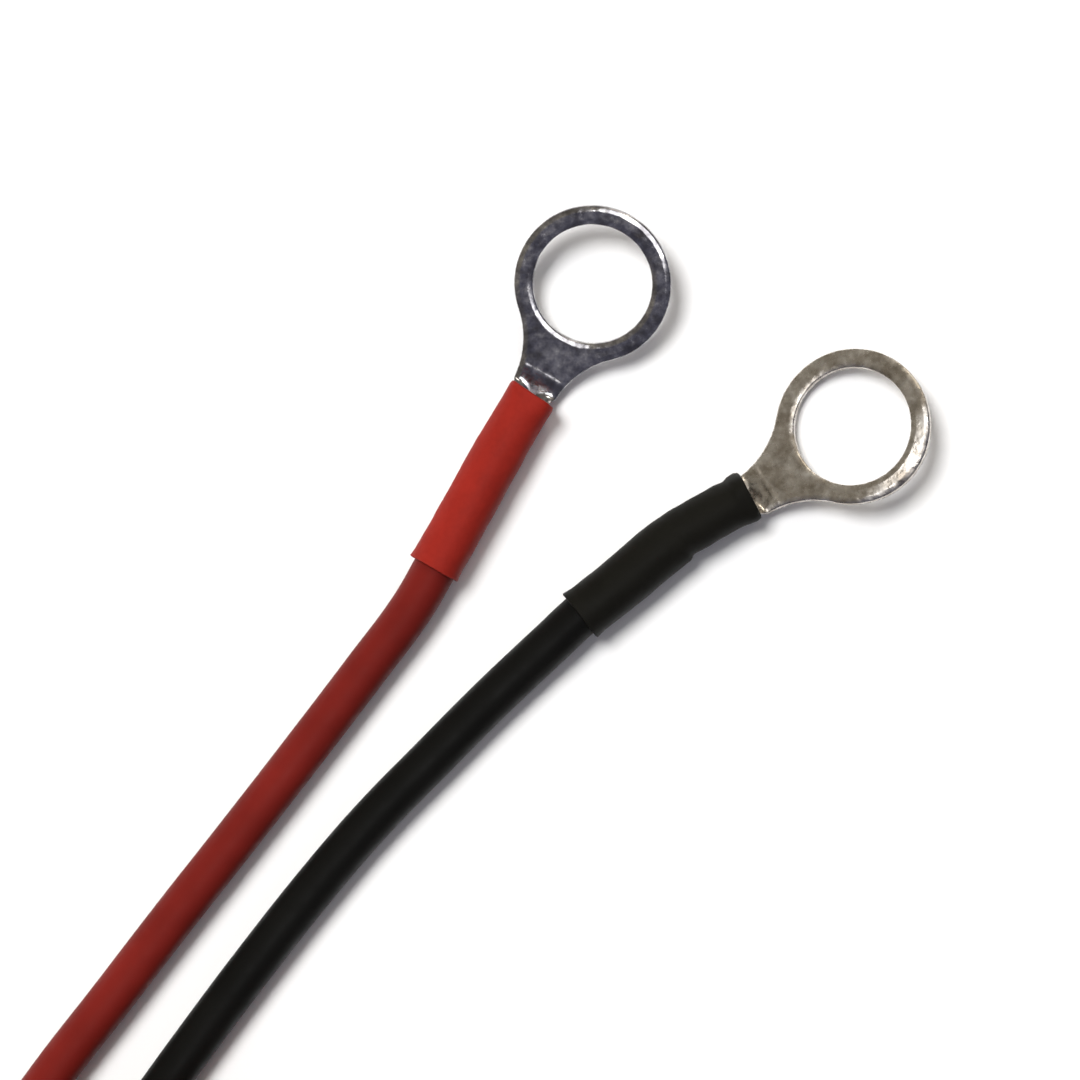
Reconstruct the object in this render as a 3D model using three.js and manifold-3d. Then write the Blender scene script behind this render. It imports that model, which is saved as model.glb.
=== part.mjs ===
// A pair of battery leads for a small solar panel, red and black. Each lead has a tinned ring
// terminal crimped to one end under a shrink sleeve, and a latching solar connector on the other:
// a socket type on red, a pin type on black. The spare cable of both leads is wound into one coil.
// Millimetres, +Z up. The leads lie on z = 0, and the origin is at the bottom centre of the
// ring terminals and their sleeves.
import * as THREE from 'three';
import { mergeVertices } from 'three/addons/utils/BufferGeometryUtils.js';
import Module from 'manifold-3d';

// ---- Ring terminal, for 1.5 to 2.5 mm2 wire and a 10 mm stud ----
const RING_RADIUS = 6.8;
const STUD_HOLE_RADIUS = 5.15;
const PLATE = 0.8;
const NECK_HALF_WIDTH = 2.05;
const NECK_FILLET = 8.0;
const BEND_AT = 10.75;
const BARREL_START = 11.1;
const BARREL_LENGTH = 4.8;
const BARREL_RADIUS = 1.85;
const BARREL_BORE = 1.15;
const BARREL_RISE = BARREL_RADIUS - PLATE;
const TONGUE_LAP = 0.35;

// ---- Cable, strands and shrink sleeve ----
const CABLE_RADIUS = 1.9;
const CABLE_SIDES = 8;
const STRAND_RADIUS = 0.95;
const SLEEVE_RADIUS = 2.3;
const SLEEVE_BORE = 2.06;
const GAP = 0.3;

// ---- Coil: black is the inner column, red the outer one ----
const COIL_CENTRE = [-40.2, -86.5];
const RED_COIL_RADIUS = 23.93;
const BLACK_COIL_RADIUS = 19.97;
const COIL_FLOOR = 0.85;
const ROW_PITCH = 4.0;
const COIL_ROWS = 4;
const COLUMN_HALF_WIDTH = 1.87;
const STEP_ANGLE = 65;
const RED_ENTRY = 168;
const RED_EXIT = 240;
const BLACK_ENTRY = 144;
const BLACK_EXIT = 315;
const FIRST_ROW_Z = COIL_FLOOR + CABLE_RADIUS;
const LAST_ROW_Z = FIRST_ROW_Z + (COIL_ROWS - 1) * ROW_PITCH;
const TIE_THICKNESS = 0.6;
const TIE_WIDTH = 3.0;
const TIE_ANGLES = [215, 20];

// ---- Connectors: stations along the axis, from the back of the nut to the mating end ----
const NUT_LENGTH = 17.0;
const NUT_RADIUS = 8.5;
const NUT_RIB_TOP = 9.1;
const NUT_RIBS = 14;
const THREAD_RADIUS = 6.95;
const THREAD_CLEARANCE = 0.4;
const POCKET_RADIUS = 6.2;
const SKIRT_START = 8.0;
const POCKET_FLOOR = 13.0;
const COLLAR_START = 17.4;
const COLLAR_END = 22.4;
const COLLAR_ACROSS_FLATS = 18.6;
const BODY_RADIUS = 8.0;
const SHELL_RADIUS = 8.8;
const PIN_SHELL_START = 28.0;
const PIN_LENGTH = 53.0;
const PIN_CAVITY_START = 31.0;
const PIN_CAVITY_RADIUS = 4.3;
const LATCH_SLOT_REACH = 7.5;
const LATCH_SLOT_WIDTH = 6.0;
const WINDOW_START = 41.4;
const WINDOW_LENGTH = 3.8;
const SOCKET_FACE = 42.0;
const SOCKET_LENGTH = 60.0;
const PROBE_RADIUS = 4.0;
const ARM_ROOT = 35.6;
const ARM_TIP = 57.0;
const ARM_INSIDE = 5.9;
const ARM_POCKET_FLOOR = 5.2;
const ARM_OUTSIDE = 7.2;
const BARB_TOP = 8.5;
const CONNECTOR_Z = COLLAR_ACROSS_FLATS / 2;
const SOCKET_AT = [-11.5, -114.8];
const PIN_AT = [11.5, -88.5];
const SIDES = 40;

const RED_PLASTIC = 0xa5301f;
const RED_JACKET = 0x8a2a22;
const BLACK_PLASTIC = 0x1c1b19;
const TINNED = 0x8f8b86;
const COPPER = 0xb87450;
const BLACK_RUBBER = 0x17181a;

// ---- Solids ----
const wasm = await Module();
wasm.setup();

const degrees = (angle) => (angle * Math.PI) / 180;
const axisX = new THREE.Vector3(1, 0, 0);

// A closed geometry as a solid, with its shared vertices merged and its faces pointing out.
function solid(geometry) {
  const bare = geometry.clone();
  bare.deleteAttribute('normal');
  bare.deleteAttribute('uv');
  const merged = mergeVertices(bare, 1e-4);
  const points = merged.attributes.position;
  const corners = merged.index.array;
  const triangles = [];
  const a = new THREE.Vector3();
  const b = new THREE.Vector3();
  const c = new THREE.Vector3();
  let volume = 0;
  for (let i = 0; i < corners.length; i += 3) {
    const [p, q, r] = [corners[i], corners[i + 1], corners[i + 2]];
    if (p === q || q === r || r === p) continue;
    triangles.push([p, q, r]);
    a.fromBufferAttribute(points, p);
    b.fromBufferAttribute(points, q);
    c.fromBufferAttribute(points, r);
    volume += a.dot(b.cross(c));
  }
  const outward = volume > 0 ? triangles : triangles.map(([p, q, r]) => [p, r, q]);
  return new wasm.Manifold(new wasm.Mesh({
    numProp: 3,
    vertProperties: new Float32Array(points.array),
    triVerts: new Uint32Array(outward.flat()),
  }));
}

function geometryOf(body) {
  const mesh = body.getMesh();
  const geometry = new THREE.BufferGeometry();
  geometry.setAttribute('position', new THREE.BufferAttribute(mesh.vertProperties, 3));
  geometry.setIndex(new THREE.BufferAttribute(mesh.triVerts, 1));
  geometry.computeVertexNormals();
  return geometry;
}

// A turned piece about the X axis. The profile is a list of [station, radius] corners, which
// closes on itself or starts and ends on the axis.
function turned(profile, sides = SIDES) {
  const points = profile.map(([station, radius]) => new THREE.Vector2(radius, station));
  const onAxis = profile[0][1] === 0 && profile[profile.length - 1][1] === 0;
  if (!onAxis) points.push(points[0].clone());
  const lathe = new THREE.LatheGeometry(points, sides);
  lathe.rotateZ(-Math.PI / 2);
  lathe.rotateX(Math.PI / sides);
  return solid(lathe);
}

function rod(start, end, radius, sides = SIDES) {
  return turned([[start, 0], [start, radius], [end, radius], [end, 0]], sides);
}

function block(low, high) {
  const size = high.map((value, axis) => value - low[axis]);
  const box = new THREE.BoxGeometry(...size);
  box.translate(...low.map((value, axis) => value + size[axis] / 2));
  return solid(box);
}

// An outline in the XY plane, raised from z = low to z = high.
function raised(shape, low, high, segments = 12) {
  const plate = new THREE.ExtrudeGeometry(shape, {
    depth: high - low,
    bevelEnabled: false,
    curveSegments: segments,
  });
  plate.translate(0, 0, low);
  return solid(plate);
}

function turnedAbout(body, axis, angle) {
  const turn = new THREE.Matrix4().makeRotationAxis(axis, degrees(angle));
  return body.transform(turn.toArray());
}

function circleSection(radius, sides) {
  const corners = [];
  for (let side = 0; side < sides; side += 1) {
    const angle = ((side + 0.5) / sides) * 2 * Math.PI;
    corners.push(new THREE.Vector2(radius * Math.cos(angle), radius * Math.sin(angle)));
  }
  return corners;
}

// A section carried along a smooth route, with one step every two to three diameters.
function carried(section, route, stepLength) {
  const curve = new THREE.CatmullRomCurve3(route.map((point) => new THREE.Vector3(...point)));
  return solid(new THREE.ExtrudeGeometry(section, {
    extrudePath: curve,
    steps: Math.max(2, Math.round(curve.getLength() / stepLength)),
    bevelEnabled: false,
  }));
}

const leads = new THREE.Group();

function addPart(parent, name, body, color, metalness, roughness) {
  const material = new THREE.MeshStandardMaterial({ color, metalness, roughness });
  const mesh = new THREE.Mesh(geometryOf(body), material);
  mesh.name = name;
  parent.add(mesh);
}

// ---- Ring terminals ----
// The terminal's own frame: origin at the ring's centre on its upper face, +X towards the cable.
// The plate is level with the bottom of the barrel, whose seam is on top.
const filletCentre = NECK_HALF_WIDTH + NECK_FILLET;
const filletStation = Math.sqrt((RING_RADIUS + NECK_FILLET) ** 2 - filletCentre ** 2);
const filletAngle = Math.atan2(filletCentre, filletStation);

function ringOutline(neckEnd) {
  const outline = new THREE.Shape();
  outline.absarc(0, 0, RING_RADIUS, filletAngle, 2 * Math.PI - filletAngle, false);
  outline.absarc(filletStation, -filletCentre, NECK_FILLET, Math.PI - filletAngle, Math.PI / 2, true);
  outline.lineTo(neckEnd, -NECK_HALF_WIDTH);
  outline.lineTo(neckEnd, NECK_HALF_WIDTH);
  outline.absarc(filletStation, filletCentre, NECK_FILLET, -Math.PI / 2, filletAngle - Math.PI, true);
  return outline;
}

function ringTerminal(pitch) {
  const neckEnd = BARREL_START + TONGUE_LAP;
  const outline = ringOutline(neckEnd);
  const hole = new THREE.Path();
  hole.absarc(0, 0, STUD_HOLE_RADIUS, 0, 2 * Math.PI, true);
  outline.holes.push(hole);
  const plate = raised(outline, -PLATE, 0, 20);
  const reach = RING_RADIUS + 1;
  const overlap = 0.1;
  const ringSide = block([-reach, -reach, -2], [BEND_AT + overlap, reach, 1]);
  const barrelSide = block([BEND_AT - overlap, -reach, -2], [neckEnd + 1, reach, 1]);
  const bent = plate.intersect(ringSide)
    .translate(-BEND_AT, 0, PLATE / 2)
    .rotate(0, pitch, 0)
    .translate(BEND_AT, 0, -PLATE / 2);
  const barrel = rod(BARREL_START, BARREL_START + BARREL_LENGTH, BARREL_RADIUS, 24)
    .translate(0, 0, BARREL_RISE);
  const bore = rod(BARREL_START - 0.5, BARREL_START + BARREL_LENGTH + 1, BARREL_BORE, 24)
    .translate(0, 0, BARREL_RISE);
  return bent.add(plate.intersect(barrelSide)).add(barrel).subtract(bore);
}

// Puts a piece made in the terminal's frame at the ring's centre, facing along the lead, with the
// barrel's axis level at the height of a sleeve that lies on the floor.
function placed(body, terminal) {
  const [x, y] = terminal.centre;
  const ringCentre = new THREE.Vector3(
    BEND_AT * (1 - Math.cos(degrees(terminal.pitch))),
    0,
    BEND_AT * Math.sin(degrees(terminal.pitch)) - BARREL_RISE,
  ).applyAxisAngle(axisX, degrees(terminal.roll));
  return body
    .translate(0, 0, -BARREL_RISE)
    .rotate(terminal.roll, 0, 0)
    .translate(-ringCentre.x, -ringCentre.y, 0)
    .rotate(0, 0, terminal.heading)
    .translate(x, y, SLEEVE_RADIUS);
}

const TERMINALS = {
  red: { centre: [-6.8, 11.7], heading: -119.2, pitch: 12, roll: 0 },
  black: { centre: [15.6, -0.5], heading: -147.5, pitch: 9.2, roll: 16 },
};

for (const [lead, terminal] of Object.entries(TERMINALS)) {
  const strandsStart = BARREL_START - 0.25;
  const strandsEnd = BARREL_START + BARREL_LENGTH + 0.2;
  const strands = rod(strandsStart, strandsEnd, STRAND_RADIUS, 16).translate(0, 0, BARREL_RISE);
  const ring = placed(ringTerminal(terminal.pitch), terminal);
  addPart(leads, `${lead}_ring_terminal`, ring, TINNED, 0.9, 0.4);
  addPart(leads, `${lead}_barrel_strands`, placed(strands, terminal), COPPER, 0.9, 0.4);
}

// ---- Shrink sleeves ----
const SLEEVE_ROUTES = {
  red: [[-12.42, 1.65, 2.3], [-14.59, -2.24, 2.3], [-17.45, -7.4, 2.3], [-20.4, -12.75, 2.3]],
  black: [[5.84, -6.86, 2.3], [4.37, -7.8, 2.3], [2.09, -9.25, 2.3], [-0.6, -11.0, 2.3],
    [-4.3, -14.1, 2.3], [-7.81, -16.87, 2.3]],
};

function sleeveSection() {
  const section = new THREE.Shape(circleSection(SLEEVE_RADIUS, 20));
  section.holes.push(new THREE.Path(circleSection(SLEEVE_BORE, 20).reverse()));
  return section;
}

for (const [lead, route] of Object.entries(SLEEVE_ROUTES)) {
  const sleeve = carried(sleeveSection(), route, 2.5);
  const color = lead === 'red' ? RED_PLASTIC : BLACK_PLASTIC;
  addPart(leads, `${lead}_shrink_sleeve`, sleeve, color, 0, 0.6);
}

// ---- Cables ----
// A point of the coil, on the circle of the given radius.
function coilPoint(radius, angle, height) {
  const [x, y] = COIL_CENTRE;
  return [x + radius * Math.cos(degrees(angle)), y + radius * Math.sin(degrees(angle)), height];
}

const gapAngle = (radius) => (GAP / radius) * (180 / Math.PI);

// From the back of the crimp barrel, along the floor, to where the coil begins.
const RED_RUN = [
  [-14.59, -2.24, 2.3], [-17.45, -7.4, 2.3], [-20.4, -12.75, 2.25], [-22.4, -16.2, 2.05],
  [-26.3, -21.45, 1.9], [-31.9, -28.8, 1.9], [-37.71, -36.28, 1.9], [-43.14, -43.18, 1.9],
  [-48.45, -50.09, 1.9], [-53.8, -56.99, 1.9], [-58.1, -63.3, 1.95], [-61.3, -69.9, 2.2],
  [-63.0, -76.0, 2.6],
  coilPoint(RED_COIL_RADIUS, RED_ENTRY - gapAngle(RED_COIL_RADIUS), FIRST_ROW_Z),
];
const BLACK_RUN = [
  [2.09, -9.25, 2.3], [-0.6, -11.0, 2.3], [-4.3, -14.1, 2.3], [-7.81, -16.87, 2.25],
  [-10.3, -19.2, 2.05], [-15.6, -24.2, 1.9], [-20.75, -29.38, 1.9], [-25.8, -34.55, 1.9],
  [-30.28, -39.73, 1.9], [-35.76, -46.64, 1.9], [-40.94, -53.54, 1.9], [-46.2, -60.8, 1.9],
  [-51.3, -67.8, 2.1],
  coilPoint(BLACK_COIL_RADIUS, BLACK_ENTRY - gapAngle(BLACK_COIL_RADIUS), FIRST_ROW_Z),
];

// From where the coil ends, down off its top row, to inside the connector.
const STRIP_STATION = POCKET_FLOOR + GAP;
const RED_TAIL = [
  coilPoint(RED_COIL_RADIUS, RED_EXIT + gapAngle(RED_COIL_RADIUS), LAST_ROW_Z),
  [-46.9, -110.4, 14.75], [-41.2, -113.1, 14.75], [-35.2, -114.5, 13.9], [-29.4, -114.8, 12.2],
  [-23.6, -114.8, 10.3], [-18.2, -114.8, 9.4], [-12.5, -114.8, CONNECTOR_Z],
  [-5.0, -114.8, CONNECTOR_Z],
  [SOCKET_AT[0] + STRIP_STATION, SOCKET_AT[1], CONNECTOR_Z],
];
const BLACK_TAIL = [
  coilPoint(BLACK_COIL_RADIUS, BLACK_EXIT + gapAngle(BLACK_COIL_RADIUS), LAST_ROW_Z),
  [-22.3, -96.9, 14.75], [-17.6, -92.8, 14.8], [-12.4, -90.1, 14.15], [-7.0, -88.8, 12.4],
  [-1.4, -88.5, 10.4], [4.0, -88.5, 9.4], [9.5, -88.5, CONNECTOR_Z], [17.0, -88.5, CONNECTOR_Z],
  [PIN_AT[0] + STRIP_STATION, PIN_AT[1], CONNECTOR_Z],
];

const jacketSection = new THREE.Shape(circleSection(CABLE_RADIUS, CABLE_SIDES));

function addTube(name, route, color) {
  addPart(leads, name, carried(jacketSection, route, 5.5), color, 0, 0.55);
}

// A sector of the coil's plan, from one angle to another, much wider than the coil.
function sector(fromAngle, toAngle, low, high) {
  const reach = 2 * RED_COIL_RADIUS;
  const shape = new THREE.Shape();
  shape.moveTo(0, 0);
  shape.absarc(0, 0, reach, degrees(fromAngle), degrees(toAngle), false);
  shape.lineTo(0, 0);
  return raised(shape, low, high);
}

// One lead's turns as a ring. Its first turn starts at the entry angle, its last one ends at the
// exit angle, and the turns climb by a row at the step angle.
function coilSolid(radius, entry, exit) {
  const low = COIL_FLOOR;
  const high = LAST_ROW_Z + CABLE_RADIUS;
  const [inner, outer] = [radius - COLUMN_HALF_WIDTH, radius + COLUMN_HALF_WIDTH];
  const profile = [[inner, low], [outer, low], [outer, high], [inner, high], [inner, low]];
  const ring = new THREE.LatheGeometry(profile.map((point) => new THREE.Vector2(...point)), 60);
  ring.rotateX(Math.PI / 2);
  const beforeEntry = sector(STEP_ANGLE, entry, low - 1, low + ROW_PITCH);
  const afterExit = sector(exit, STEP_ANGLE + 360, high - ROW_PITCH, high + 1);
  return solid(ring)
    .subtract(beforeEntry)
    .subtract(afterExit)
    .translate(...COIL_CENTRE, 0);
}

addTube('red_cable_run', RED_RUN, RED_JACKET);
addPart(leads, 'red_cable_coil', coilSolid(RED_COIL_RADIUS, RED_ENTRY, RED_EXIT), RED_JACKET, 0, 0.55);
addTube('red_cable_tail', RED_TAIL, RED_JACKET);
addTube('black_cable_run', BLACK_RUN, BLACK_PLASTIC);
addPart(
  leads, 'black_cable_coil', coilSolid(BLACK_COIL_RADIUS, BLACK_ENTRY, BLACK_EXIT), BLACK_PLASTIC, 0, 0.55,
);
addTube('black_cable_tail', BLACK_TAIL, BLACK_PLASTIC);

// ---- Coil ties ----
// A strap looped round both columns, in the plane through the coil's centre, with its head outside.
function coilTie(angle, rows) {
  const slack = 0.25;
  const inner = BLACK_COIL_RADIUS - CABLE_RADIUS - slack;
  const outer = RED_COIL_RADIUS + CABLE_RADIUS + slack;
  const top = COIL_FLOOR + (rows - 1) * ROW_PITCH + 2 * CABLE_RADIUS + slack;
  const half = TIE_WIDTH / 2;
  const wall = TIE_THICKNESS;
  const outside = block([inner - wall, -half, 0], [outer + wall, half, top + wall]);
  const inside = block([inner, -half - 1, wall], [outer, half + 1, top]);
  const headZ = top / 2;
  const head = block([outer + 0.1, -2.4, headZ - 2.2], [outer + 4.0, 2.4, headZ + 2.2]);
  const stub = block([outer + 3.5, -half, headZ - 0.4], [outer + 5.6, half, headZ + 0.4]);
  return outside.subtract(inside).add(head).add(stub)
    .rotate(0, 0, angle)
    .translate(...COIL_CENTRE, 0);
}

addPart(leads, 'coil_tie_1', coilTie(TIE_ANGLES[0], COIL_ROWS), BLACK_PLASTIC, 0, 0.6);
addPart(leads, 'coil_tie_2', coilTie(TIE_ANGLES[1], COIL_ROWS - 1), BLACK_PLASTIC, 0, 0.6);

// ---- Connectors ----
// Both are made about the X axis: station 0 is the back of the nut, +X is the mating end, and the
// latch arms are on +Y and -Y.
function unionNut() {
  const bore = THREAD_RADIUS + THREAD_CLEARANCE;
  let nut = turned([
    [0, 3.6], [0, 7.4], [1.4, NUT_RADIUS], [NUT_LENGTH, NUT_RADIUS], [NUT_LENGTH, bore],
    [7.2, bore], [3.0, 4.6], [3.0, 3.6],
  ]);
  for (let rib = 0; rib < NUT_RIBS; rib += 1) {
    const bar = block([2.2, -0.7, NUT_RADIUS - 0.4], [NUT_LENGTH - 1.2, 0.7, NUT_RIB_TOP - 0.05]);
    nut = nut.add(turnedAbout(bar, axisX, (rib / NUT_RIBS) * 360));
  }
  return nut;
}

// A ring with eight fingers, which the nut's cone presses onto the seal.
function glandCage() {
  let cage = turned([
    [4.2, 4.5], [4.2, 5.0], [7.6, 5.9], [12.2, 5.9], [12.2, 4.5],
  ]);
  for (let slot = 0; slot < 4; slot += 1) {
    const cut = block([3, -7, -0.5], [8.8, 7, 0.5]);
    cage = cage.subtract(turnedAbout(cut, axisX, 22.5 + slot * 45));
  }
  return cage;
}

function cableSeal() {
  return turned([
    [4.6, 2.2], [4.6, 3.9], [5.4, 4.2], [7.2, 4.2], [7.8, 3.8], [8.8, 3.8], [9.4, 4.2],
    [11.6, 4.2], [12.5, 3.7], [12.5, 2.2],
  ], 32);
}

// The threaded skirt and six-sided collar that both housings have.
function housingBack() {
  const skirt = rod(SKIRT_START, COLLAR_START + 1, THREAD_RADIUS);
  const corner = COLLAR_ACROSS_FLATS / Math.sqrt(3);
  const collar = turned(
    [[COLLAR_START, 0], [COLLAR_START, corner], [COLLAR_END, corner], [COLLAR_END, 0]], 6,
  );
  const rounding = turned([
    [COLLAR_START - 1, 0], [COLLAR_START - 1, 9.0], [COLLAR_START + 1.2, 10.4],
    [COLLAR_END - 1.2, 10.4], [COLLAR_END + 1, 9.0], [COLLAR_END + 1, 0],
  ]);
  const pocket = rod(SKIRT_START - 1, POCKET_FLOOR, POCKET_RADIUS);
  return skirt.add(collar.intersect(rounding)).subtract(pocket);
}

function pinHousing() {
  const body = turned([
    [COLLAR_END - 1, 0], [COLLAR_END - 1, BODY_RADIUS], [PIN_SHELL_START - 1.2, BODY_RADIUS],
    [PIN_SHELL_START, SHELL_RADIUS], [PIN_LENGTH - 0.6, SHELL_RADIUS], [PIN_LENGTH, SHELL_RADIUS - 0.6],
    [PIN_LENGTH, 0],
  ]);
  const contactBore = rod(POCKET_FLOOR - 1, PIN_LENGTH, 2.75);
  const cavity = rod(PIN_CAVITY_START, PIN_LENGTH + 1, PIN_CAVITY_RADIUS);
  const half = LATCH_SLOT_WIDTH / 2;
  const slot = block(
    [PIN_CAVITY_START + 4, -LATCH_SLOT_REACH, -half], [PIN_LENGTH + 1, LATCH_SLOT_REACH, half],
  );
  const window = block(
    [WINDOW_START, -SHELL_RADIUS - 1, -half - 0.1],
    [WINDOW_START + WINDOW_LENGTH, SHELL_RADIUS + 1, half + 0.1],
  );
  return housingBack().add(body).subtract(contactBore).subtract(cavity).subtract(slot).subtract(window);
}

function socketHousing() {
  const body = turned([
    [COLLAR_END - 1, 0], [COLLAR_END - 1, BODY_RADIUS], [SOCKET_FACE - 2, BODY_RADIUS],
    [SOCKET_FACE, BODY_RADIUS - 0.8], [SOCKET_FACE, PROBE_RADIUS], [SOCKET_LENGTH - 1, PROBE_RADIUS],
    [SOCKET_LENGTH, PROBE_RADIUS - 0.5], [SOCKET_LENGTH, 0],
  ]);
  const contactBore = rod(POCKET_FLOOR - 1, SOCKET_LENGTH - 2.4, 3.15);
  const pinBore = rod(SOCKET_LENGTH - 3, SOCKET_LENGTH + 1, 2.3);
  let housing = housingBack().add(body).subtract(contactBore).subtract(pinBore);
  for (const side of [-1, 1]) {
    const [near, far] = [side * ARM_POCKET_FLOOR, side * 10].sort((p, q) => p - q);
    housing = housing.subtract(block([ARM_ROOT - GAP, near, -3.1], [SOCKET_FACE + 1, far, 3.1]));
  }
  return housing;
}

// The latch arm of one side: a flat finger with a barb near its tip, ramped at the front.
function latchArm(side) {
  const outline = new THREE.Shape();
  outline.moveTo(ARM_ROOT, ARM_INSIDE);
  outline.lineTo(ARM_TIP, ARM_INSIDE);
  outline.lineTo(ARM_TIP, ARM_INSIDE + 0.6);
  outline.lineTo(53.4, BARB_TOP - 0.4);
  outline.lineTo(52.6, BARB_TOP);
  outline.lineTo(50.0, BARB_TOP);
  outline.lineTo(50.0, ARM_OUTSIDE);
  outline.lineTo(ARM_ROOT, ARM_OUTSIDE);
  const arm = raised(outline, -2.6, 2.6);
  return side > 0 ? arm : turnedAbout(arm, axisX, 180);
}

function crimpBarrel(radius) {
  return rod(14.2, 20.4, radius).subtract(rod(14, 19.9, 1.45, 24));
}

function pinContact() {
  const shank = turned([
    [20.2, 0], [20.2, 2.3], [29, 2.3], [29.4, 2.0], [45.8, 2.0], [47, 1.2], [47, 0],
  ]);
  return crimpBarrel(2.3).add(shank);
}

function socketContact() {
  const shank = rod(20.2, 57.2, 2.85);
  const pinHole = rod(36, 58, 2.1);
  const springSeat = rod(49.6, 56.2, 2.55);
  return crimpBarrel(2.3).add(shank).subtract(pinHole).subtract(springSeat);
}

// The slit sleeve of spring bronze that grips the pin.
function contactSpring() {
  let sleeve = turned([[49.9, 2.15], [49.9, 2.42], [55.9, 2.42], [55.9, 2.15]], 32);
  for (let slit = 0; slit < 4; slit += 1) {
    const cut = block([51, -0.2, -3], [54.8, 0.2, 3]);
    sleeve = sleeve.subtract(turnedAbout(cut, axisX, slit * 45));
  }
  return sleeve;
}

function sealingRing() {
  const ring = new THREE.TorusGeometry(4.7, 0.5, 10, 36);
  ring.rotateY(Math.PI / 2);
  ring.translate(SOCKET_FACE + 0.9, 0, 0);
  return solid(ring);
}

function connector(kind, place, color) {
  const group = new THREE.Group();
  group.position.set(...place, CONNECTOR_Z);
  leads.add(group);
  const add = (name, body, tint, metalness, roughness) => {
    addPart(group, `${kind}_${name}`, body, tint, metalness, roughness);
  };
  add('union_nut', unionNut(), color, 0, 0.5);
  add('gland_cage', glandCage(), BLACK_PLASTIC, 0, 0.5);
  add('cable_seal', cableSeal(), BLACK_RUBBER, 0, 0.8);
  add('strands', rod(STRIP_STATION + GAP, 19.4, 1.2, 16), COPPER, 0.9, 0.4);
  return add;
}

const addSocketPart = connector('socket', SOCKET_AT, BLACK_PLASTIC);
addSocketPart('housing', socketHousing(), BLACK_PLASTIC, 0, 0.5);
addSocketPart('contact', socketContact(), TINNED, 0.9, 0.35);
addSocketPart('contact_spring', contactSpring(), COPPER, 0.9, 0.35);
addSocketPart('sealing_ring', sealingRing(), BLACK_RUBBER, 0, 0.8);
addSocketPart('latch_arm_left', latchArm(1), BLACK_PLASTIC, 0, 0.5);
addSocketPart('latch_arm_right', latchArm(-1), BLACK_PLASTIC, 0, 0.5);

const addPinPart = connector('pin', PIN_AT, BLACK_PLASTIC);
addPinPart('housing', pinHousing(), BLACK_PLASTIC, 0, 0.5);
addPinPart('contact', pinContact(), TINNED, 0.9, 0.35);

export default leads;
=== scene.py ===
# A pair of solar battery leads, red and black: tinned ring terminals under shrink sleeves at one
# end, latching solar connectors at the other, and the spare cable wound into one tied coil.
import bmesh
import bpy
import math
from mathutils import Matrix, Vector, noise


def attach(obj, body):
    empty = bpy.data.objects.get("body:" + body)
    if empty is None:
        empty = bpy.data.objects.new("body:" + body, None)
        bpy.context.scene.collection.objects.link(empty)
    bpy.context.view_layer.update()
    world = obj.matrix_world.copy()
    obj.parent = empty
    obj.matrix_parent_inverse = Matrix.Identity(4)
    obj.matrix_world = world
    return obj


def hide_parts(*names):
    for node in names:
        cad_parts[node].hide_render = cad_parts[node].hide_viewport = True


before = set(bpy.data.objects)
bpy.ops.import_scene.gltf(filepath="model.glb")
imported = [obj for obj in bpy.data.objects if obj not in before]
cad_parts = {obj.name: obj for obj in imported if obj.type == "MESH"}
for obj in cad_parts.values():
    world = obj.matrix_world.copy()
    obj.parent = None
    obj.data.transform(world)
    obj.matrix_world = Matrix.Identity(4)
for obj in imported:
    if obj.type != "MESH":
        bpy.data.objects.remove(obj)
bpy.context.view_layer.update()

# ---- The camera ----
# It looks straight down on the two ring terminals, with the cables running out of its view at
# the lower left corner.
VIEW_CENTRE = (-0.01135, -0.0104)
VIEW_WIDTH = 0.0932
VIEW_PLANE = 0.003
CAMERA_HEIGHT = 0.4
SENSOR = 36

view_camera = bpy.data.objects.new("view_camera", bpy.data.cameras.new("view_camera"))
bpy.context.scene.collection.objects.link(view_camera)
view_camera.location = (*VIEW_CENTRE, CAMERA_HEIGHT)
view_camera.data.sensor_width = SENSOR
view_camera.data.lens = SENSOR * (CAMERA_HEIGHT - VIEW_PLANE) / VIEW_WIDTH
view_camera.data.clip_start = 0.01
view_camera.data.clip_end = 20
bpy.context.scene.camera = view_camera

# ---- The two cables ----
# Each is one core of fine copper in an extruded plastic jacket, 3.8 mm thick. It starts behind
# the crimp barrel, lies on the table, winds into the coil and ends inside its connector.
CABLE = 0.0038
COIL_CENTRE = (-0.0402, -0.0865)
COIL_FLOOR = 0.00085
ROW_PITCH = 0.004
FIRST_ROW = COIL_FLOOR + CABLE / 2
RED_COIL = dict(radius=0.02393, entry=168, leave=240 + 3 * 360)
BLACK_COIL = dict(radius=0.01997, entry=144, leave=315 + 3 * 360)
STEP_START = 30
STEP_TURN = 70
TURN_POINTS = 24
CONNECTOR_HEIGHT = 0.0093
RED_JACKET = (0.158, 0.0122, 0.0088)
BLACK_JACKET = (0.0050, 0.0049, 0.0044)

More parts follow.
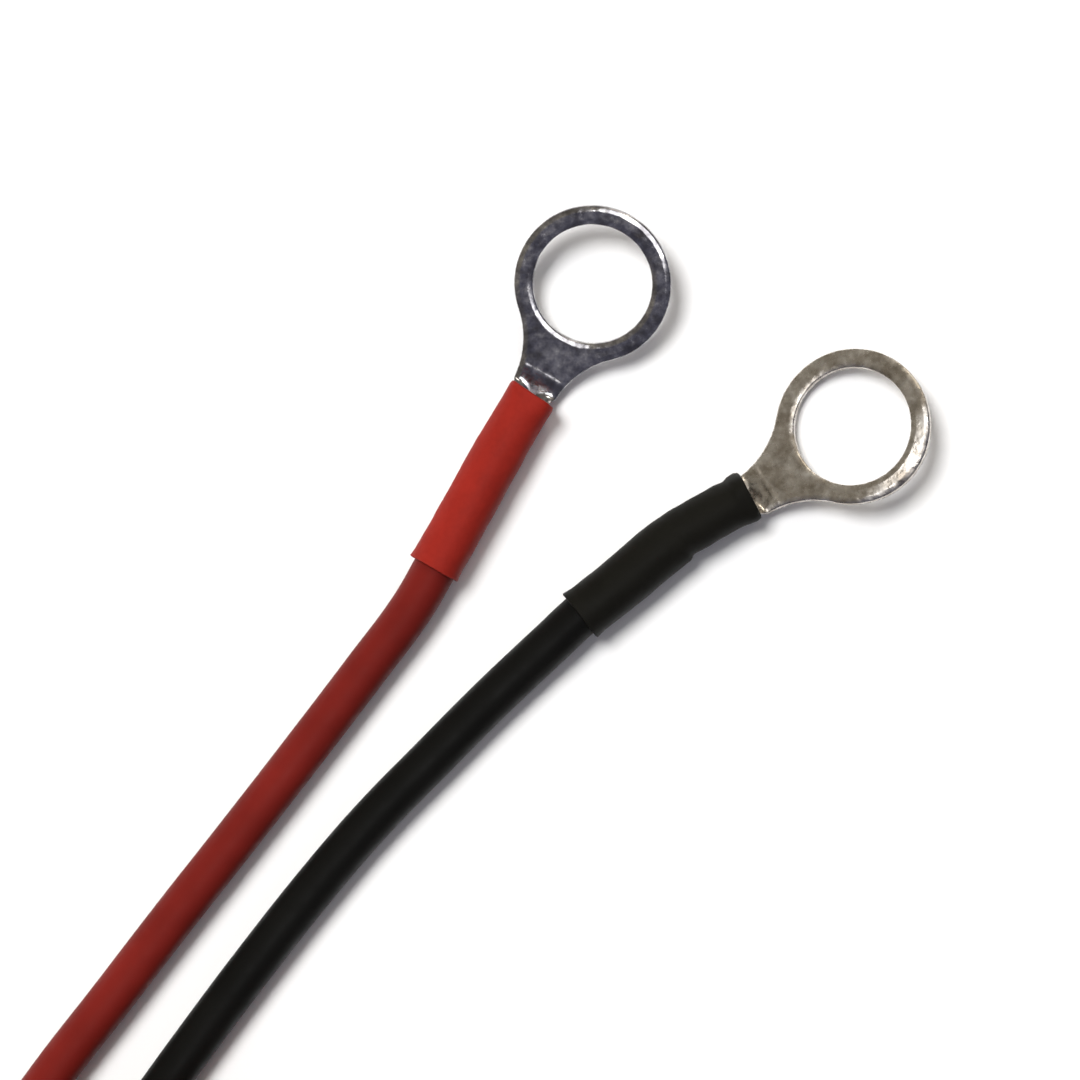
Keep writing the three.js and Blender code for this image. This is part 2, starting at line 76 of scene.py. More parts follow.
RED_RUN = [
    (-0.01459, -0.00224, 0.0023), (-0.01745, -0.0074, 0.0023), (-0.0204, -0.01275, 0.00225),
    (-0.0224, -0.0162, 0.00205), (-0.0263, -0.02145, 0.0019), (-0.0319, -0.0288, 0.0019),
    (-0.03771, -0.03628, 0.0019), (-0.04314, -0.04318, 0.0019), (-0.04845, -0.05009, 0.0019),
    (-0.0538, -0.05699, 0.0019), (-0.0581, -0.0633, 0.00195), (-0.0613, -0.0699, 0.0022),
    (-0.063, -0.076, 0.0026),
]
BLACK_RUN = [
    (0.00209, -0.00925, 0.0023), (-0.0006, -0.011, 0.0023), (-0.0043, -0.0141, 0.0023),
    (-0.00781, -0.01687, 0.00225), (-0.0103, -0.0192, 0.00205), (-0.0156, -0.0242, 0.0019),
    (-0.02075, -0.02938, 0.0019), (-0.0258, -0.03455, 0.0019), (-0.03028, -0.03973, 0.0019),
    (-0.03576, -0.04664, 0.0019), (-0.04094, -0.05354, 0.0019), (-0.0462, -0.0608, 0.0019),
    (-0.0513, -0.0678, 0.0021),
]
RED_TAIL = [
    (-0.0469, -0.1104, 0.01475), (-0.0412, -0.1131, 0.01475), (-0.0352, -0.1145, 0.0139),
    (-0.0294, -0.1148, 0.0122), (-0.0236, -0.1148, 0.0103), (-0.0182, -0.1148, 0.0094),
    (-0.0125, -0.1148, CONNECTOR_HEIGHT), (-0.005, -0.1148, CONNECTOR_HEIGHT),
    (0.0018, -0.1148, CONNECTOR_HEIGHT),
]
BLACK_TAIL = [
    (-0.0223, -0.0969, 0.01475), (-0.0176, -0.0928, 0.0148), (-0.0124, -0.0901, 0.01415),
    (-0.007, -0.0888, 0.0124), (-0.0014, -0.0885, 0.0104), (0.004, -0.0885, 0.0094),
    (0.0095, -0.0885, CONNECTOR_HEIGHT), (0.017, -0.0885, CONNECTOR_HEIGHT),
    (0.0248, -0.0885, CONNECTOR_HEIGHT),
]


def smooth_step(share):
    share = min(max(share, 0.0), 1.0)
    return share * share * (3 - 2 * share)


def coil_turns(radius, entry, leave):
    """Points round the coil, which climbs one row at the same place in every turn."""
    points = []
    count = round((leave - entry) / 360 * TURN_POINTS)
    for step in range(count + 1):
        angle = entry + (leave - entry) * step / count
        climbed = sum(
            smooth_step((angle - STEP_START - 360 * turn) / STEP_TURN) for turn in (1, 2, 3)
        )
        points.append((
            COIL_CENTRE[0] + radius * math.cos(math.radians(angle)),
            COIL_CENTRE[1] + radius * math.sin(math.radians(angle)),
            FIRST_ROW + ROW_PITCH * climbed,
        ))
    return points


def laid_cable(name, points):
    curve = bpy.data.curves.new(name, "CURVE")
    curve.dimensions = "3D"
    curve.bevel_depth = CABLE / 2
    curve.bevel_resolution = 8
    curve.resolution_u = 5
    curve.use_fill_caps = True
    spline = curve.splines.new("BEZIER")
    spline.bezier_points.add(len(points) - 1)
    for bezier, place in zip(spline.bezier_points, points):
        bezier.co = place
        bezier.handle_left_type = "AUTO"
        bezier.handle_right_type = "AUTO"
    made = bpy.data.objects.new(name, curve)
    bpy.context.scene.collection.objects.link(made)
    return made


class Finish:
    """A material under way: its surface shader, and short ways to add textures to it."""

    def __init__(self, name, colour, roughness, metallic=0.0, specular=0.5):
        self.material = bpy.data.materials.new(name)
        self.material.use_nodes = True
        self.nodes = self.material.node_tree.nodes
        self.links = self.material.node_tree.links
        self.surface = self.nodes["Principled BSDF"]
        self.surface.inputs["Base Color"].default_value = (*colour, 1)
        self.surface.inputs["Roughness"].default_value = roughness
        self.surface.inputs["Metallic"].default_value = metallic
        self.surface.inputs["Specular IOR Level"].default_value = specular
        self.place = self.nodes.new("ShaderNodeTexCoord").outputs["Object"]

    def clouds(self, size, detail=3.0, rough=0.5):
        """Soft noise whose lumps are about the given size in metres."""
        texture = self.nodes.new("ShaderNodeTexNoise")
        texture.inputs["Scale"].default_value = 1 / size
        texture.inputs["Detail"].default_value = detail
        texture.inputs["Roughness"].default_value = rough
        self.links.new(self.place, texture.inputs["Vector"])
        return texture.outputs["Fac"]

    def grains(self, size):
        """Crystal-like cells about the given size in metres, each of its own colour."""
        texture = self.nodes.new("ShaderNodeTexVoronoi")
        texture.inputs["Scale"].default_value = 1 / size
        self.links.new(self.place, texture.inputs["Vector"])
        return texture.outputs["Color"]

    def ramp(self, value, *stops):
        """Turns a value into a colour or a grey level by (position, colour) stops."""
        made = self.nodes.new("ShaderNodeValToRGB")
        band = made.color_ramp
        while len(band.elements) < len(stops):
            band.elements.new(0.5)
        for element, (position, colour) in zip(band.elements, stops):
            level = (colour,) * 3 if isinstance(colour, float) else colour
            element.position = position
            element.color = (*level, 1)
        self.links.new(value, made.inputs["Fac"])
        return made.outputs["Color"]

    def colour(self, value):
        self.links.new(value, self.surface.inputs["Base Color"])

    def roughness(self, value):
        self.links.new(value, self.surface.inputs["Roughness"])

    def mixed(self, share, first, second, blend="MIX"):
        mix = self.nodes.new("ShaderNodeMix")
        mix.data_type = "RGBA"
        mix.blend_type = blend
        for socket, value in zip((mix.inputs[0], mix.inputs[6], mix.inputs[7]), (share, first, second)):
            if isinstance(value, float):
                socket.default_value = value
            elif isinstance(value, tuple):
                socket.default_value = (*value, 1)
            else:
                self.links.new(value, socket)
        return mix.outputs[2]

    def bump(self, value, depth, strength=1.0):
        """Adds a fine relief, in metres, over the reliefs added before."""
        made = self.nodes.new("ShaderNodeBump")
        made.inputs["Strength"].default_value = strength
        made.inputs["Distance"].default_value = depth
        self.links.new(value, made.inputs["Height"])
        normal = self.surface.inputs["Normal"]
        if normal.is_linked:
            self.links.new(normal.links[0].from_socket, made.inputs["Normal"])
        self.links.new(made.outputs["Normal"], normal)


def shade(colour, factor):
    return tuple(min(channel * factor, 1.0) for channel in colour)


def jacket_finish(name, colour, roughness):
    """Extruded jacket: nearly even, with faint drawn waves, dust-fine grain and duller patches."""
    finish = Finish(name, colour, roughness, specular=0.1)
    patches = finish.clouds(0.006, detail=4.0)
    finish.colour(finish.ramp(patches, (0.3, shade(colour, 0.86)), (0.7, shade(colour, 1.14))))
    wear = finish.clouds(0.0016, detail=5.0, rough=0.6)
    finish.roughness(finish.ramp(wear, (0.3, roughness - 0.08), (0.72, roughness + 0.1)))
    finish.bump(finish.clouds(0.0022), 0.00003)
    finish.bump(finish.clouds(0.00016, detail=2.0), 0.000006)
    return finish.material


def fit(piece, body, slot, *replaced):
    """Attaches a piece to the body it moves with and hides the CAD parts it stands for; slot is not used."""
    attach(piece, body)
    if replaced:
        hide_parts(*replaced)


red_cable = laid_cable("red_cable", RED_RUN + coil_turns(**RED_COIL) + RED_TAIL)
red_cable.data.materials.append(jacket_finish("red_jacket", RED_JACKET, 0.5))
fit(red_cable, "leads", "red_jacket", "red_cable_run", "red_cable_coil", "red_cable_tail")

black_cable = laid_cable("black_cable", BLACK_RUN + coil_turns(**BLACK_COIL) + BLACK_TAIL)
black_cable.data.materials.append(jacket_finish("black_jacket", BLACK_JACKET, 0.47))
fit(black_cable, "leads", "black_jacket", "black_cable_run", "black_cable_coil", "black_cable_tail")

# ---- Ring terminals ----
# Each is stamped from 0.8 mm tinned copper: a ring for a 10 mm stud, a neck with a pressed crease
# and a barrel rolled up from the neck's edges and crimped on the core. Both rings stand up a little
# from the table, and black's is rolled over too, with one side of its rim bent down again.
MM = 0.001
# The shapes of the terminals, sleeves, ties and connectors are given in millimetres. Each
# terminal's own frame starts at its ring's centre and runs along +X to the cable.
RING_RADIUS = 6.8
STUD_HOLE = 5.15
PLATE = 0.8
NECK = 2.05
NECK_FILLET = 8.0
CREASE_AT = 9.0
BEND_AT = 10.75
BEND_SPREAD = 0.7
RIM_BEND_FROM = 4.9
RIM_BEND_SPREAD = 1.0
RIM_BEND_SIDE = Vector((-0.36, 0.933))
TAPER_FROM = 10.3
TONGUE_END = 11.45
TONGUE_HALF = 1.62
BARREL_START = 11.1
BARREL_END = 15.9
BARREL_RADIUS = 1.85
BARREL_BORE = 1.15
BARREL_RISE = BARREL_RADIUS - PLATE
BARREL_AXIS = 2.3
ROLLED_EDGE = 0.5
EDGE_DROP = 0.115
BURR = 0.12
CRIMP_DENTS = (12.6, 14.3)
TERMINALS = {
    "red": dict(
        centre=(-6.8, 11.7), heading=-119.2, pitch=12, roll=0, rim_bend=0.0, crease=0.5, seed=3.0,
    ),
    "black": dict(
        centre=(15.6, -0.5), heading=-147.5, pitch=9.2, roll=16, rim_bend=0.27, crease=1.0, seed=11.0,
    ),
}


# Half of the outline: round the ring, round the neck's fillet, down the taper, across the tongue.
FILLET_SIDE = NECK + NECK_FILLET
FILLET_AT = math.sqrt((RING_RADIUS + NECK_FILLET) ** 2 - FILLET_SIDE ** 2)
FILLET_MEETS = math.atan2(FILLET_SIDE, FILLET_AT)
FILLET_LEAVES = math.asin((FILLET_AT - TAPER_FROM) / NECK_FILLET)
TAPER_SIDE = FILLET_SIDE - NECK_FILLET * math.cos(FILLET_LEAVES)
TAPER = Vector((TAPER_FROM - TONGUE_END, TAPER_SIDE - TONGUE_HALF))
RING_ARC = RING_RADIUS * (math.pi - FILLET_MEETS)
FILLET_ARC = NECK_FILLET * (math.pi / 2 - FILLET_MEETS - FILLET_LEAVES)
HALF_OUTLINE = RING_ARC + FILLET_ARC + TAPER.length + TONGUE_HALF


def outline_point(walked):
    """A point and outward direction on the terminal's upper half outline, by distance walked."""
    if walked <= RING_ARC:
        angle = math.pi - walked / RING_RADIUS
        out = Vector((math.cos(angle), math.sin(angle)))
        return out * RING_RADIUS, out
    walked -= RING_ARC
    if walked <= FILLET_ARC:
        angle = math.pi + FILLET_MEETS + walked / NECK_FILLET
        arm = Vector((math.cos(angle), math.sin(angle)))
        return Vector((FILLET_AT, FILLET_SIDE)) + arm * NECK_FILLET, -arm
    walked -= FILLET_ARC
    side_out = Vector((-TAPER.y, TAPER.x)).normalized() * -1
    if walked <= TAPER.length:
        return Vector((TAPER_FROM, TAPER_SIDE)) - TAPER.normalized() * walked, side_out
    walked -= TAPER.length
    return Vector((TONGUE_END, TONGUE_HALF - walked)), Vector((1, 0))


def crease_height(x, y):
    """The pressed line across the neck: a low ridge with a groove on its ring side."""
    inside = smooth_step((2.1 - abs(y)) / 0.5)
    across = x - CREASE_AT
    ridge = 0.035 * math.exp(-(across / 0.15) ** 2)
    groove = 0.03 * math.exp(-((across + 0.3) / 0.14) ** 2)
    return inside * (ridge - groove)


def hammered(x, y, seed):
    """The uneven thickness that hot tinning leaves."""
    broad = noise.noise(Vector((x * 0.75, y * 0.75, seed)))
    fine = noise.noise(Vector((x * 1.9, y * 1.9, seed + 7)))
    return 0.020 * broad + 0.009 * fine


def bent(x, y, height, terminal):
    """Rolls the neck's edges up towards the barrel, bends the neck up and one rim down."""
    height += PLATE / 2
    height += 0.3 * y * y * smooth_step((x - 9.9) / 1.3) ** 2
    beyond = Vector((x, y)).dot(RIM_BEND_SIDE) - RIM_BEND_FROM
    height -= terminal["rim_bend"] * (beyond + math.hypot(beyond, RIM_BEND_SPREAD)) / 2
    pitch = math.radians(terminal["pitch"])
    before = BEND_AT + BEND_SPREAD / 2 - x
    turned_by = pitch * min(max(before / BEND_SPREAD, 0.0), 1.0)
    if before <= 0 or pitch == 0:
        return Vector((x, y, height - PLATE / 2))
    bend_radius = BEND_SPREAD / pitch
    along = bend_radius * math.sin(turned_by)
    rise = bend_radius * (1 - math.cos(turned_by))
    past = max(before - BEND_SPREAD, 0.0)
    along += past * math.cos(turned_by)
    rise += past * math.sin(turned_by)
    return Vector((
        BEND_AT + BEND_SPREAD / 2 - along + height * math.sin(turned_by),
        y,
        rise + height * math.cos(turned_by) - PLATE / 2,
    ))


def terminal_place(terminal):
    """From the terminal's own frame, ring centre and +X to the cable, to its place on the table."""
    roll = Matrix.Rotation(math.radians(terminal["roll"]), 4, "X")
    heading = Matrix.Rotation(math.radians(terminal["heading"]), 4, "Z")
    pitch = math.radians(terminal["pitch"])
    centre = roll @ Vector((BEND_AT * (1 - math.cos(pitch)), 0, BEND_AT * math.sin(pitch) - BARREL_RISE))
    return (
        Matrix.Scale(MM, 4)
        @ Matrix.Translation((*terminal["centre"], BARREL_AXIS))
        @ heading
        @ Matrix.Translation((-centre.x, -centre.y, 0))
        @ roll
        @ Matrix.Translation((0, 0, -BARREL_RISE))
    )


def smoothed(mesh, angle=35):
    mesh.shade_smooth()
    mesh.set_sharp_from_angle(angle=math.radians(angle))


def piece_from(name, vertices, faces):
    mesh = bpy.data.meshes.new(name)
    mesh.from_pydata([tuple(v) for v in vertices], [], faces)
    mesh.validate()
    made = bpy.data.objects.new(name, mesh)
    bpy.context.scene.collection.objects.link(made)
    return made


def faced_outward(piece):
    """Turns every face of a closed piece outward."""
    work = bmesh.new()
    work.from_mesh(piece.data)
    bmesh.ops.recalc_face_normals(work, faces=work.faces)
    work.to_mesh(piece.data)
    work.free()
    return piece


def grid_faces(rings, width, closed_rings=True):
    """Quads between rings of points, each ring closed on itself."""
    faces = []
    for ring in range(rings if closed_rings else rings - 1):
        following = (ring + 1) % rings
        for step in range(width):
            onward = (step + 1) % width
            faces.append((
                ring * width + step, following * width + step,
                following * width + onward, ring * width + onward,
            ))
    return faces


def applied(piece):
    """Keeps the result of the piece's modifiers as its own mesh."""
    bpy.context.view_layer.update()
    graph = bpy.context.evaluated_depsgraph_get()
    result = bpy.data.meshes.new_from_object(piece.evaluated_get(graph))
    piece.modifiers.clear()
    piece.data = result
    return piece


def combined(piece, other, way):
    """Joins another solid to a piece, or cuts it away, and removes the other solid."""
    change = piece.modifiers.new("combined", "BOOLEAN")
    change.operation = way
    change.solver = "MANIFOLD"
    change.object = other
    applied(piece)
    bpy.data.objects.remove(other)
    return piece


def turned(name, profile, sides=72, shape=None):
    """A piece turned about +X from a closed list of (station, radius) points, in millimetres.

    shape(station, radius, angle) may change the radius round the piece, for ribs and flats.
    """
    vertices = []
    for side in range(sides):
        angle = 2 * math.pi * side / sides
        for station, radius in profile:
            reach = shape(station, radius, angle) if shape else radius
            vertices.append((station, reach * math.cos(angle), reach * math.sin(angle)))
    piece = piece_from(name, vertices, grid_faces(sides, len(profile)))
    work = bmesh.new()
    work.from_mesh(piece.data)
    bmesh.ops.remove_doubles(work, verts=work.verts, dist=1e-5)
    bmesh.ops.dissolve_degenerate(work, dist=1e-6, edges=work.edges)
    loose = [edge for edge in work.edges if not edge.link_faces]
    bmesh.ops.delete(work, geom=loose, context="EDGES")
    bmesh.ops.recalc_face_normals(work, faces=work.faces)
    work.to_mesh(piece.data)
    work.free()
    return piece


def rolled_edge(steps=7):
    """Distances in from a cut edge and heights there, from the bottom face round to the top."""
    lower = [(BURR, -PLATE), (0.035, -PLATE + 0.03), (0.0, -PLATE + BURR)]
    upper = [(0.0, -EDGE_DROP - 0.1), (0.01, -EDGE_DROP - 0.04)]
    for step in range(1, steps + 1):
        share = step / steps
        upper.append((ROLLED_EDGE * share, -EDGE_DROP * (1 - share) ** 1.35))
    return lower + upper


def ring_and_neck(lead, terminal, samples=440, across=30):
    """The flat stamping, as loops of points round its section, one after another round the ring."""
    edge = rolled_edge()
    vertices = []
    for sample in range(samples):
        walked = (sample + 0.5) / samples * 2 * HALF_OUTLINE
        mirrored = walked > HALF_OUTLINE
        outer, out = outline_point(2 * HALF_OUTLINE - walked if mirrored else walked)
        if mirrored:
            outer, out = Vector((outer.x, -outer.y)), Vector((out.x, -out.y))
        inward = outer.normalized()
        loop = [(inward * (STUD_HOLE + inset), height) for inset, height in edge]
        first = inward * (STUD_HOLE + ROLLED_EDGE)
        last = outer - out * ROLLED_EDGE
        loop += [(first.lerp(last, step / across), 0.0) for step in range(1, across)]
        loop += [(outer - out * inset, height) for inset, height in reversed(edge)]
        under_last, under_first = outer - out * BURR, inward * (STUD_HOLE + BURR)
        loop += [(under_last.lerp(under_first, step / 6), -PLATE) for step in range(1, 6)]
        for point, height in loop:
            if height > -PLATE / 2:
                flat = min(max(1 + height / EDGE_DROP, 0.3), 1.0)
                height += flat * hammered(point.x, point.y, terminal["seed"])
                height += terminal["crease"] * crease_height(point.x, point.y)
            vertices.append(bent(point.x, point.y, height, terminal))
    faces = grid_faces(samples, len(loop))
    return faced_outward(piece_from(f"{lead}_ring_terminal_made", vertices, faces))


def crimped(station, radius, angle):
    """Two rounded crimp dents in the barrel's top, and the open seam along it."""
    if radius < BARREL_RADIUS - 0.2:
        return radius
    dents = sum(math.exp(-((station - dent) / 0.5) ** 2) for dent in CRIMP_DENTS)
    facing = max(math.sin(angle), 0.0) ** 6
    seam = math.exp(-((angle - math.pi / 2) / 0.07) ** 2)
    return radius - 0.28 * dents * facing - 0.2 * seam


def stamped_terminal(lead, terminal):
    piece = ring_and_neck(lead, terminal)
    profile = [(BARREL_START, BARREL_BORE + 0.08), (BARREL_START, BARREL_RADIUS - 0.1)]
    profile += [(BARREL_START + 0.1 + 0.235 * step, BARREL_RADIUS) for step in range(20)]
    profile += [
        (BARREL_END, BARREL_RADIUS - 0.1), (BARREL_END, BARREL_BORE + 0.12),
        (BARREL_END - 0.12, BARREL_BORE), (BARREL_START + 0.1, BARREL_BORE),
    ]
    barrel = turned(f"{lead}_barrel", profile, 96, crimped)
    barrel.data.transform(Matrix.Translation((0, 0, BARREL_RISE)))
    combined(piece, barrel, "UNION")
    piece.data.transform(terminal_place(terminal))
    smoothed(piece.data, 50)
    return piece


def tin_finish(name, dark, middle, light, roughness, relief):
    """Hot-dipped tin, dulled by handling: soft grey clouds, small bright grains, fine pits."""
    finish = Finish(name, middle, roughness, metallic=1.0)
    clouds = finish.clouds(0.0013, detail=5.0, rough=0.62)
    body = finish.ramp(clouds, (0.34, dark), (0.5, middle), (0.68, light))
    spangle = finish.ramp(finish.grains(0.00062), (0.15, 0.72), (0.85, 1.0))
    finish.colour(finish.mixed(0.55, body, spangle, "MULTIPLY"))
    wear = finish.clouds(0.0007, detail=4.0)
    finish.roughness(finish.ramp(wear, (0.3, roughness - 0.07), (0.7, roughness + 0.08)))
    finish.bump(finish.clouds(0.00085, detail=2.0), 0.00007, relief)
    finish.bump(finish.clouds(0.0003, detail=2.0), 0.00001, relief)
    return finish.material


# Painted reflection: both rings are the same tin, but the red lead's is coloured darker and bluer and the
# black lead's lighter and warmer, to stand in for the dim bluish and the warm surroundings each ring
# reflects.
TINS_WITH_PAINTED_REFLECTION = {
    "red": tin_finish(
        "red_lead_tin_painted_reflection", (0.24, 0.23, 0.24), (0.43, 0.42, 0.445), (0.84, 0.82, 0.80), 0.16, 0.22,
    ),
    "black": tin_finish(
        "black_lead_tin_painted_reflection", (0.42, 0.37, 0.31), (0.63, 0.58, 0.52), (0.88, 0.84, 0.79), 0.27, 0.7,
    ),
}
for lead, terminal in TERMINALS.items():
    ring = stamped_terminal(lead, terminal)
    ring.data.materials.clear()
    ring.data.materials.append(TINS_WITH_PAINTED_REFLECTION[lead])
    fit(ring, "leads", "tinned_copper", f"{lead}_ring_terminal")

# ---- Crimped strands ----
# The bared end of each core, nineteen bundles of fine copper twisted together, fills the crimp
# barrel from just inside its front end.
COPPER_COLOUR = (0.72, 0.31, 0.17)


def bundle(name, start, end, radius, twist=0.16, steps=14, sides=10):
    """Nineteen wires laid in two rings round one, twisted along +X, in millimetres."""
    wire = radius / 5
    starts = [(0.0, 0.0)]
    starts += [(2 * wire, math.radians(60 * turn)) for turn in range(6)]
    starts += [(3.95 * wire, math.radians(30 * turn + 15)) for turn in range(12)]
    vertices = []
    faces = []
    for number, (reach, angle) in enumerate(starts):
        jut = 0.12 * noise.noise(Vector((number * 1.7, 0.3, 0)))
        first = len(vertices)
        for step in range(steps + 1):
            station = start + jut + (end - start - jut) * step / steps
            turn = angle + twist * (station - start)
            end_round = 0.55 if step in (0, steps) else 1.0
            for side in range(sides):
                around = 2 * math.pi * side / sides
                vertices.append((
                    station,
                    reach * math.cos(turn) + wire * end_round * math.cos(around),
                    reach * math.sin(turn) + wire * end_round * math.sin(around),
                ))
        tube = grid_faces(steps + 1, sides, closed_rings=False)
        faces += [tuple(first + corner for corner in face) for face in tube]
        faces.append(tuple(first + side for side in range(sides)))
        faces.append(tuple(first + steps * sides + side for side in reversed(range(sides))))
    return faced_outward(piece_from(name, vertices, faces))


def copper_finish():
    finish = Finish("bare_copper", COPPER_COLOUR, 0.3, metallic=1.0)
    tarnish = finish.clouds(0.0008, detail=4.0)
    dull, bright = shade(COPPER_COLOUR, 0.6), shade(COPPER_COLOUR, 1.15)
    finish.colour(finish.ramp(tarnish, (0.35, dull), (0.65, bright)))
    finish.roughness(finish.ramp(tarnish, (0.3, 0.24), (0.7, 0.42)))
    finish.bump(finish.clouds(0.00012), 0.000004)
    return finish.material


bare_copper = copper_finish()
for lead, terminal in TERMINALS.items():
    strands = bundle(f"{lead}_barrel_core", BARREL_START + 0.3, BARREL_END + 0.2, 0.95)
    strands.data.transform(Matrix.Translation((0, 0, BARREL_RISE)))
    strands.data.transform(terminal_place(terminal))
    strands.data.materials.append(bare_copper)
    smoothed(strands.data)
    fit(strands, "leads", "bare_copper", f"{lead}_barrel_strands")

# ---- Shrink sleeves ----
# A length of shrink tube over each barrel. It has drawn down flat over the neck, shows the step
# where the barrel ends and the jacket begins, and its cut end by the cable stands a little open.
SLEEVE_WALL = 0.27
SLEEVE_FLOOR = 0.03
MOUTH_REACH = 2.5
ROLL_REACH = 7.0
END_FROM = 16.0
RED_SLEEVE = (0.272, 0.0185, 0.0118)
BLACK_SLEEVE = (0.0078, 0.0074, 0.0058)
# A girth is its station from the mouth, half width, half height, lift over the barrel's axis and
# sideways shift.
SLEEVES = {
    "red": dict(
        route=[(-11.98, 2.18), (-14.59, -2.24), (-17.45, -7.4), (-20.5, -12.83)],
        roll=0, skew=-0.07, seed=2.0, colour=RED_SLEEVE,
        girths=[
            (0.0, 2.14, 2.06, 0.09, 0.0), (0.35, 2.20, 2.10, 0.06, 0.0), (1.3, 2.18, 2.14, 0.02, 0.0),
            (2.4, 2.17, 2.13, 0.0, 0.0), (4.8, 2.20, 2.17, 0.0, 0.0), (5.9, 2.25, 2.23, 0.0, 0.0),
            (9.0, 2.25, 2.25, 0.0, 0.0), (13.0, 2.26, 2.26, 0.0, 0.01), (16.3, 2.27, 2.27, 0.0, 0.0),
            (17.0, 2.31, 2.31, 0.02, 0.0), (17.5, 2.41, 2.41, 0.04, 0.0),
        ],
    ),
    "black": dict(
        route=[(6.7, -6.5), (4.37, -7.8), (2.09, -9.25), (-0.6, -11.0), (-4.3, -14.1), (-7.86, -16.91)],
        roll=16, skew=-0.02, seed=5.0, colour=BLACK_SLEEVE,
        girths=[
            (0.0, 2.10, 2.04, 0.09, 0.0), (0.35, 2.22, 2.10, 0.06, 0.0), (0.9, 2.20, 2.12, 0.03, 0.0),
            (1.5, 2.10, 2.12, 0.0, 0.06), (2.4, 2.17, 2.12, 0.0, -0.02), (5.0, 2.18, 2.15, 0.0, -0.12),
            (6.6, 2.18, 2.17, 0.0, -0.2), (7.4, 2.34, 2.27, 0.0, -0.02), (8.6, 2.36, 2.28, 0.0, 0.0),
            (13.0, 2.33, 2.28, 0.0, 0.0), (17.0, 2.31, 2.29, 0.0, 0.0), (17.5, 2.36, 2.33, 0.02, 0.0),
            (17.95, 2.42, 2.38, 0.03, 0.0),
        ],
    ),
}


def along_route(points, count):
    """Evenly spaced points and directions on one smooth curve through the given points."""
    points = [Vector(point) for point in points]
    ends = [2 * points[0] - points[1]] + points + [2 * points[-1] - points[-2]]
    fine = []
    for index in range(len(points) - 1):
        before, first, second, after = ends[index:index + 4]
        for step in range(40):
            share = step / 40
            fine.append(0.5 * (
                2 * first + (second - before) * share
                + (2 * before - 5 * first + 4 * second - after) * share ** 2
                + (3 * first - before - 3 * second + after) * share ** 3
            ))
    fine.append(points[-1])
    walked = [0.0]
    for start, end in zip(fine, fine[1:]):
        walked.append(walked[-1] + (end - start).length)
    places = []
    index = 0
    for step in range(count):
        target = walked[-1] * step / (count - 1)
        while index < len(fine) - 2 and walked[index + 1] < target:
            index += 1
        share = (target - walked[index]) / (walked[index + 1] - walked[index])
        direction = (fine[index + 1] - fine[index]).normalized()
        places.append((target, fine[index].lerp(fine[index + 1], share), direction))
    return places


def girth_at(girths, station):
    """Eased between the listed stations."""
    for low, high in zip(girths, girths[1:]):
        if station <= high[0]:
            share = smooth_step((station - low[0]) / (high[0] - low[0]))
            return [a + (b - a) * share for a, b in zip(low[1:], high[1:])]
    return list(girths[-1][1:])


def rounded_lip(outside, inside, neighbour):
    """A ring of points halfway through the wall, a little beyond the tube's cut end."""
    return [
        (out + within) / 2 + (out - next_out) * 0.6
        for out, within, next_out in zip(outside, inside, neighbour)
    ]


def sleeve_ring(plan, wall, station, middle, direction, sides):
    """One closed ring of points round the lead, at a depth in the wall that is 0 outside."""
    half_width, half_height, lift, shift = girth_at(plan["girths"], station)
    mouth = smooth_step(1 - station / MOUTH_REACH)
    roll = math.radians(plan["roll"]) * smooth_step(1 - station / ROLL_REACH)
    right = Vector((direction.y, -direction.x, 0)).normalized()
    side = right * -math.cos(roll) - Vector((0, 0, 1)) * math.sin(roll)
    up = Vector((0, 0, 1)) * math.cos(roll) - right * math.sin(roll)
    forward = Vector((direction.x, direction.y, 0))
    squareness = 2.0 + 1.0 * mouth
    seed = plan["seed"]
    ring = []
    for step in range(sides):
        around = 2 * math.pi * step / sides
        across, rise = math.cos(around), math.sin(around)
        spot = Vector((station * 0.45, across * 1.1, rise * 1.1 + seed))
        uneven = 0.035 * noise.noise(spot) + 0.012 * noise.noise(spot * 3.1)
        cut = 0.05 * noise.noise(Vector((across * 1.5, rise * 1.5, seed)))
        across = math.copysign(abs(across) ** (2 / squareness), across)
        rise = math.copysign(abs(rise) ** (2 / squareness), rise)
        point = (
            Vector((middle.x, middle.y, BARREL_AXIS))
            + side * (across * (half_width - wall + uneven) + shift)
            + up * (rise * (half_height - wall + uneven) + lift)
            - forward * plan["skew"] * 2 * across * mouth
        )
        point += forward * cut * (mouth - smooth_step((station - END_FROM) / 2))
        point.z = max(point.z, SLEEVE_FLOOR + wall * 0.5)
        ring.append(point)
    return ring


def shrunk_sleeve(lead, plan, stations=150, sides=72):
    outer = []
    inner = []
    for place in along_route(plan["route"], stations):
        outer.append(sleeve_ring(plan, 0.0, *place, sides))
        inner.append(sleeve_ring(plan, SLEEVE_WALL, *place, sides))
    mouth_lip = rounded_lip(outer[0], inner[0], outer[1])
    end_lip = rounded_lip(outer[-1], inner[-1], outer[-2])
    rings = outer + [end_lip] + inner[::-1] + [mouth_lip]
    vertices = [point * MM for ring in rings for point in ring]
    piece = faced_outward(piece_from(f"{lead}_shrunk_tube", vertices, grid_faces(len(rings), sides)))
    smoothed(piece.data, 60)
    return piece


